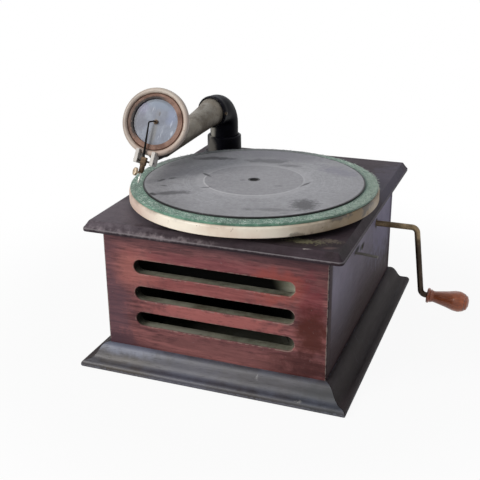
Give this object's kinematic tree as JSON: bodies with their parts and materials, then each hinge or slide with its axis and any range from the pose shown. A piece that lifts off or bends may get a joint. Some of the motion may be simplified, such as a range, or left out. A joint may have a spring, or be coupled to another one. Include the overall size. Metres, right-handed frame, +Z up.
{
  "type": "table gramophone",
  "caption": "Table gramophone: wooden cabinet with sound slots, turntable with felt and record, swivelling tone arm with sound box, crank-wound spring motor with worm-driven governor",
  "frame": {"origin": "middle of the cabinet's footprint, at the plinth's underside on the table", "axes": "+Z up, -Y out of the front with the sound slots, +X out of the side with the crank"},
  "size_m": [0.2833, 0.2574, 0.2115],
  "materials": {
    "mahogany": "varnished, worn",
    "plinth_wood": "dark varnish",
    "board_wood": "dark stain, dusty",
    "raw_wood": "bare",
    "horn_metal": "thin sheet",
    "black_enamel": "black, semi-gloss",
    "dull_nickel": "tarnished nickel",
    "cream_paint": "aged cream",
    "gasket": "aged, copper brown",
    "mica": "mica sheet",
    "dark_steel": "darkened",
    "bright_steel": "bright",
    "brass": "dull",
    "felt": "green felt",
    "shellac": "worn shellac disc",
    "crank_steel": "browned",
    "turned_wood": "glossy",
    "motor_rubber": "black"
  },
  "bodies": {
    "cabinet": {"plinth_front": "plinth_wood", "plinth_back": "plinth_wood", "plinth_left": "plinth_wood", "plinth_right": "plinth_wood", "bottom_board": "raw_wood", "front_panel": "mahogany", "back_panel": "mahogany", "left_panel": "mahogany", "right_panel": "mahogany", "top_board": "board_wood", "horn": "horn_metal", "tonearm_bracket": "black_enamel", "motor_top_plate": "bright_steel", "motor_bottom_plate": "bright_steel", "motor_pillar_1": "brass", "motor_pillar_2": "brass", "motor_pillar_3": "brass", "motor_pillar_4": "brass", "motor_mount_1": "motor_rubber", "motor_mount_2": "motor_rubber", "motor_mount_3": "motor_rubber", "governor_bracket_left": "bright_steel", "governor_bracket_right": "bright_steel", "regulator_pin": "bright_steel"},
    "turntable": {"platter": "cream_paint", "felt_mat": "felt", "spindle": "bright_steel", "worm_wheel": "brass"},
    "record": {"record": "shellac"},
    "layshaft": {"layshaft": "bright_steel", "layshaft_wheel": "brass"},
    "barrel": {"mainspring_barrel": "brass", "mainspring": "dark_steel"},
    "arbor": {"barrel_arbor": "bright_steel", "crown_wheel": "brass"},
    "governor": {"governor_shaft": "bright_steel", "governor_disc": "brass", "governor_weight_1": "dark_steel", "governor_weight_2": "dark_steel", "governor_weight_3": "dark_steel"},
    "crank": {"crank_rod": "crank_steel", "crank_pinion": "brass"},
    "crank_handle": {"crank_handle": "turned_wood"},
    "elbow": {"tonearm_elbow": "black_enamel", "lift_screw_left": "dark_steel", "lift_screw_right": "dark_steel"},
    "arm": {"tonearm_tube": "dull_nickel", "gooseneck": "dull_nickel"},
    "sound_box": {"soundbox_body": "dull_nickel", "soundbox_ring": "cream_paint", "soundbox_gasket": "gasket", "diaphragm": "mica", "stylus_pivot_pin": "dark_steel"},
    "stylus": {"stylus_bar": "dark_steel", "needle": "bright_steel"},
    "needle_screw": {"needle_screw": "bright_steel"},
    "brake": {"brake_rod": "dark_steel"},
    "speed_screw": {"speed_screw": "brass"},
    "regulator": {"regulator_lever": "dark_steel"}
  },
  "joints": [
    {"name": "platter_spin", "type": "hinge", "parent": "cabinet", "child": "turntable", "pos_m": [0.004, -0.0286, 0.1235], "axis": [0, 0, 1], "continuous": true},
    {"name": "record_lift", "type": "slide", "parent": "turntable", "child": "record", "axis": [0, 0, 1], "range_m": [0, 0.0035]},
    {"name": "layshaft_spin", "type": "hinge", "parent": "cabinet", "child": "layshaft", "pos_m": [-0.00257, 0.00679, 0.08], "axis": [0, 0, 1], "continuous": true},
    {"name": "barrel_spin", "type": "hinge", "parent": "cabinet", "child": "barrel", "pos_m": [0.02, 0.0463, 0.07], "axis": [0, 0, 1], "continuous": true},
    {"name": "governor_spin", "type": "hinge", "parent": "cabinet", "child": "governor", "pos_m": [0.004, -0.04883, 0.0725], "axis": [1, 0, 0], "continuous": true},
    {"name": "crank_turn", "type": "hinge", "parent": "cabinet", "child": "crank", "pos_m": [0.09, 0.0463, 0.0876], "axis": [1, 0, 0], "continuous": true},
    {"name": "arbor_turn", "type": "hinge", "parent": "cabinet", "child": "arbor", "pos_m": [0.02, 0.0463, 0.07], "axis": [0, 0, 1], "continuous": true},
    {"name": "handle_spin", "type": "hinge", "parent": "crank", "child": "crank_handle", "pos_m": [0.13269, 0.0463, 0.0266], "axis": [0.9976, 0, -0.0698], "continuous": true},
    {"name": "arm_swing", "type": "hinge", "parent": "cabinet", "child": "elbow", "pos_m": [-0.069, 0.0895, 0.1235], "axis": [0, 0, -1], "range_deg": [-24, 12]},
    {"name": "arm_lift", "type": "hinge", "parent": "elbow", "child": "arm", "pos_m": [-0.07206, 0.06771, 0.1689], "axis": [-0.9903, 0.1392, 0], "range_deg": [0, 12]},
    {"name": "sound_box_turn", "type": "hinge", "parent": "arm", "child": "sound_box", "pos_m": [-0.07103, -0.05307, 0.18783], "axis": [-0.145, 0.9158, -0.3746], "range_deg": [0, 60]},
    {"name": "stylus_rock", "type": "hinge", "parent": "sound_box", "child": "stylus", "pos_m": [-0.07557, -0.0647, 0.1578], "axis": [0.9803, 0.0816, -0.1801], "range_deg": [-0.6, 0.6], "stiffness_Nm_per_rad": 0.02},
    {"name": "needle_screw_turn", "type": "hinge", "parent": "stylus", "child": "needle_screw", "pos_m": [-0.07686, -0.06848, 0.14907], "axis": [-0.6577, -0.6511, 0.3788], "range_deg": [0, 360]},
    {"name": "brake_slide", "type": "slide", "parent": "cabinet", "child": "brake", "axis": [-1, 0, 0], "range_m": [0, 0.0022]},
    {"name": "speed_screw_turn", "type": "hinge", "parent": "cabinet", "child": "speed_screw", "pos_m": [0.09, -0.005, 0.085], "axis": [1, 0, 0], "range_deg": [0, 360]},
    {"name": "regulator_turn", "type": "hinge", "parent": "cabinet", "child": "regulator", "pos_m": [0.054, -0.018, 0.0785], "axis": [0, 0, 1], "range_deg": [0, 3.2]}
  ],
  "couplings": [
    {"joint": "layshaft_spin", "follows": "platter_spin", "ratio": -0.2},
    {"joint": "barrel_spin", "follows": "platter_spin", "ratio": 0.033333},
    {"joint": "governor_spin", "follows": "platter_spin", "ratio": -8},
    {"joint": "arbor_turn", "follows": "crank_turn", "ratio": 0.33333},
    {"joint": "regulator_turn", "follows": "speed_screw_turn", "ratio": 0.0083333}
  ]
}
